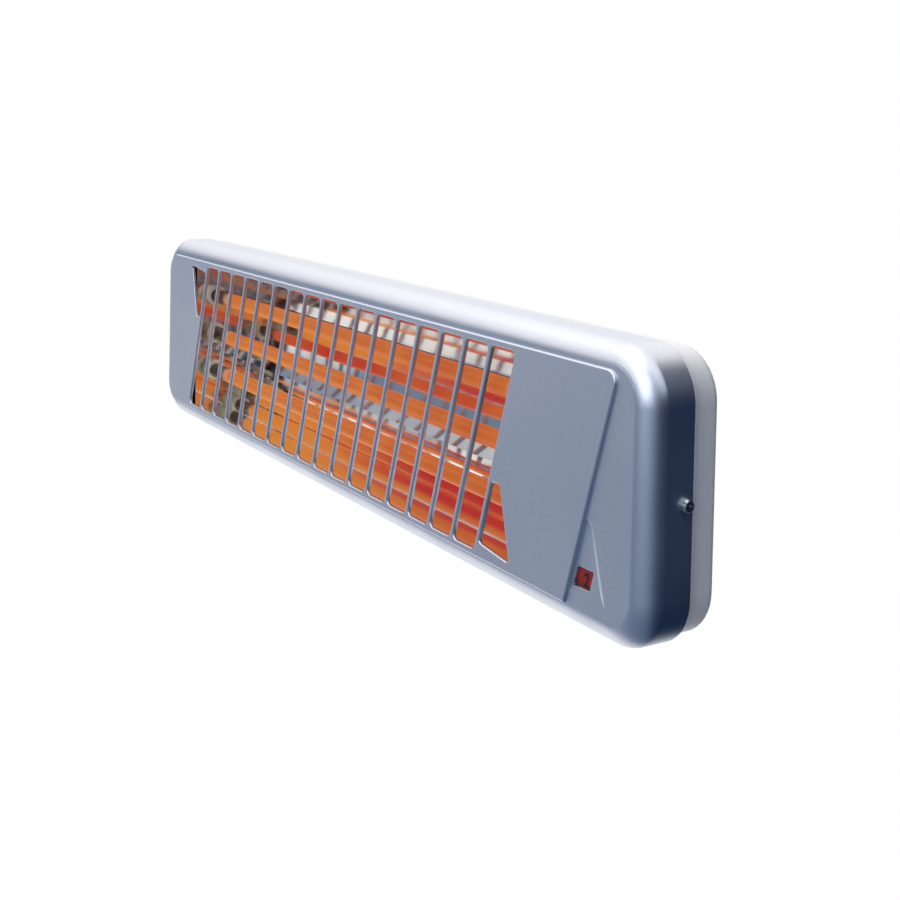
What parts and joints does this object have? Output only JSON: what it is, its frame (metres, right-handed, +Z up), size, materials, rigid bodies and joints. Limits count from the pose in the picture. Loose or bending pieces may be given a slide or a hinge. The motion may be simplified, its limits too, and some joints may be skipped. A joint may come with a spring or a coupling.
{
  "type": "electric bar heater",
  "caption": "Wall-hung electric radiant heater: slotted metal front, quartz tubes in a polished reflector, pull switch with number window, tilting wall bracket.",
  "frame": {"origin": "centre of the wall bracket's two screw slots, in the plane of the wall", "axes": "+Y into the wall, so the front faces -Y; +Z up; +X to the right as seen from the front"},
  "size_m": [0.5948, 0.084, 0.137],
  "materials": {
    "silver_paint": "satin silver-blue paint",
    "grey_paint": "satin light grey paint",
    "polished_aluminium": "mirror polished",
    "plain_aluminium": "rolled",
    "quartz": "glowing opal quartz",
    "hot_wire": "glowing resistance wire",
    "cap_ceramic": "unglazed",
    "zinc_steel": "zinc plated",
    "dark_steel": "dark zinc",
    "brass": "bright",
    "fibre": "pressed fibre",
    "clear_lens": "clear",
    "red_plastic": "moulded",
    "white_nylon": "moulded",
    "ivory_plastic": "moulded",
    "black_rubber": "moulded",
    "red_insulation": "glass silk sleeving",
    "black_insulation": "glass silk sleeving",
    "grey_insulation": "glass silk sleeving",
    "brown_insulation": "insulation",
    "blue_insulation": "insulation",
    "green_insulation": "insulation"
  },
  "bodies": {
    "wall_bracket": {"wall_bracket": "zinc_steel", "pivot_bolts": "zinc_steel", "pivot_nuts": "zinc_steel", "friction_washers": "fibre"},
    "heater": {"ear_left": "zinc_steel", "ear_right": "zinc_steel", "ear_rivets": "zinc_steel", "front_cover": "silver_paint", "window_lens": "clear_lens", "rear_housing": "grey_paint", "cover_screws": "dark_steel", "clip_nuts": "zinc_steel", "rear_screws": "zinc_steel", "reflector": "polished_aluminium", "end_plate_left": "plain_aluminium", "end_plate_right": "plain_aluminium", "quartz_tube_top": "quartz", "quartz_tube_middle": "quartz", "quartz_tube_bottom": "quartz", "heating_coil_top": "hot_wire", "heating_coil_middle": "hot_wire", "heating_coil_bottom": "hot_wire", "ceramic_caps_left": "cap_ceramic", "ceramic_caps_right": "cap_ceramic", "tube_pins_left": "zinc_steel", "tube_pins_right": "zinc_steel", "bus_bar": "brass", "lead_top": "red_insulation", "lead_middle": "black_insulation", "lead_bottom": "grey_insulation", "live_lead": "brown_insulation", "neutral_lead": "blue_insulation", "earth_lead": "green_insulation", "switch_bracket": "zinc_steel", "switch_body": "ivory_plastic", "return_spring": "zinc_steel", "cord_bush": "white_nylon", "terminal_block": "ivory_plastic", "terminal_screws": "brass", "earth_screw": "brass", "cable_grommet": "black_rubber", "cable_clamp": "ivory_plastic", "clamp_screws": "zinc_steel"},
    "indicator": {"switch_spindle": "zinc_steel", "indicator_drum": "red_plastic"},
    "pull_lever": {"pull_lever": "white_nylon"}
  },
  "joints": [
    {"name": "heater_tilt", "type": "hinge", "parent": "wall_bracket", "child": "heater", "pos_m": [0, -0.022, 0], "axis": [1, 0, 0], "range_deg": [0, 30]},
    {"name": "indicator_turn", "type": "hinge", "parent": "heater", "child": "indicator", "pos_m": [0.2509, -0.0682, -0.0422], "axis": [1, 0, 0], "continuous": true},
    {"name": "lever_pull", "type": "hinge", "parent": "heater", "child": "pull_lever", "pos_m": [0.2399, -0.0682, -0.0422], "axis": [-1, 0, 0], "range_deg": [0, 30], "stiffness_Nm_per_rad": 0.2, "springref_deg": -28.65}
  ]
}
